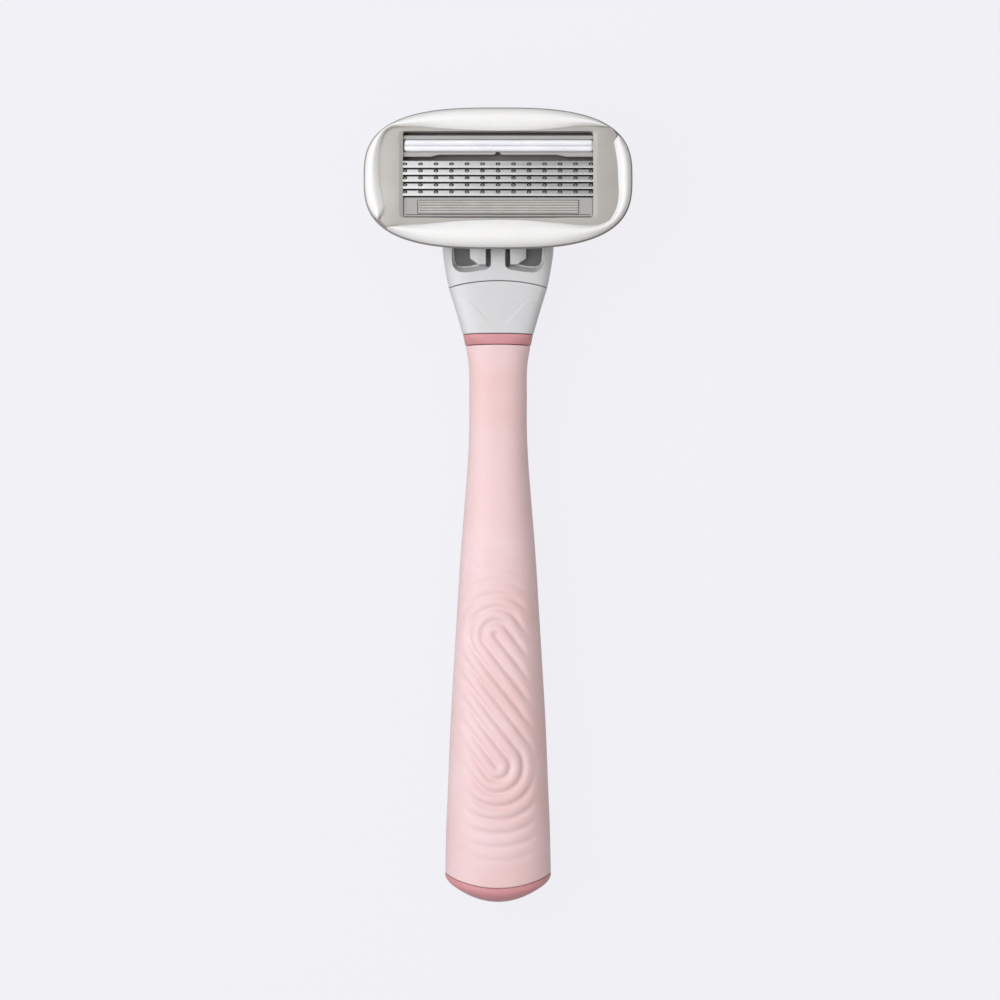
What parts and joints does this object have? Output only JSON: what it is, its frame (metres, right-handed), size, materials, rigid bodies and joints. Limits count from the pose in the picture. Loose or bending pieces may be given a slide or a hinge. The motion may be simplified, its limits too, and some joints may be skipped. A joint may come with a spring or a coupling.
{
  "type": "cartridge razor",
  "caption": "Wet-shave razor with a soft waisted grip, a flared neck and a wide pivoting blade cartridge ringed by soft glide lobes.",
  "frame": {"origin": "centre of the bounding box, on the surface the razor lies on with its blades facing up", "axes": "+X to the right across the handle, +Y along the handle from the butt to the cartridge, +Z out of the blades"},
  "size_m": [0.0474, 0.141, 0.0214],
  "materials": {
    "blush_elastomer": "satin injection-moulded thermoplastic elastomer, pale pink",
    "rose_abs": "semi-gloss moulded ABS, dusty rose",
    "core_abs": "plain moulded ABS, hidden under the sleeve",
    "zinc_alloy": null,
    "stainless_steel": "bent and drawn stainless steel",
    "honed_steel": "ground and honed blade steel",
    "light_grey_abs": "satin moulded ABS, light grey",
    "warm_grey_abs": "satin moulded ABS, warm grey",
    "white_elastomer": "smooth moulded elastomer, off-white",
    "lubricating_white": "waxy extruded polymer, white",
    "fin_rubber": "moulded elastomer, light grey"
  },
  "bodies": {
    "handle": {"grip_sleeve": "blush_elastomer", "handle_core": "core_abs", "counterweight": "zinc_alloy", "retaining_pin": "stainless_steel", "end_cap": "rose_abs", "collar_ring": "rose_abs", "neck_front_shell": "light_grey_abs", "neck_back_cover": "light_grey_abs", "release_spring": "stainless_steel"},
    "release": {"release_slide": "light_grey_abs", "release_button": "light_grey_abs"},
    "connector": {"connector_yoke": "light_grey_abs", "return_tongue": "white_elastomer"},
    "cartridge": {"cartridge_housing": "warm_grey_abs", "bezel_frame": "warm_grey_abs", "glide_lobe_upper": "white_elastomer", "glide_lobe_lower": "white_elastomer", "strip_carrier": "light_grey_abs", "lubricating_strip": "lubricating_white", "guard_bar": "light_grey_abs", "rubber_guard": "fin_rubber", "blade_1": "honed_steel", "blade_2": "honed_steel", "blade_3": "honed_steel", "blade_4": "honed_steel", "blade_5": "honed_steel", "blade_support_1": "stainless_steel", "blade_support_2": "stainless_steel", "blade_support_3": "stainless_steel", "blade_support_4": "stainless_steel", "blade_support_5": "stainless_steel"}
  },
  "joints": [
    {"name": "release_press", "type": "slide", "parent": "handle", "child": "release", "axis": [0, 1, 0], "range_m": [0, 0.0024], "stiffness_N_per_m": 400, "springref_m": -0.002, "deforming": ["release_spring"]},
    {"name": "cartridge_dock", "type": "slide", "parent": "release", "child": "connector", "axis": [0, 1, 0], "range_m": [0, 0.012]},
    {"name": "cartridge_pivot", "type": "hinge", "parent": "connector", "child": "cartridge", "pos_m": [0, 0.0531, 0.0123], "axis": [-1, 0, 0], "range_deg": [0, 40], "stiffness_Nm_per_rad": 0.02, "springref_deg": -9.74, "deforming": ["return_tongue"]}
  ]
}
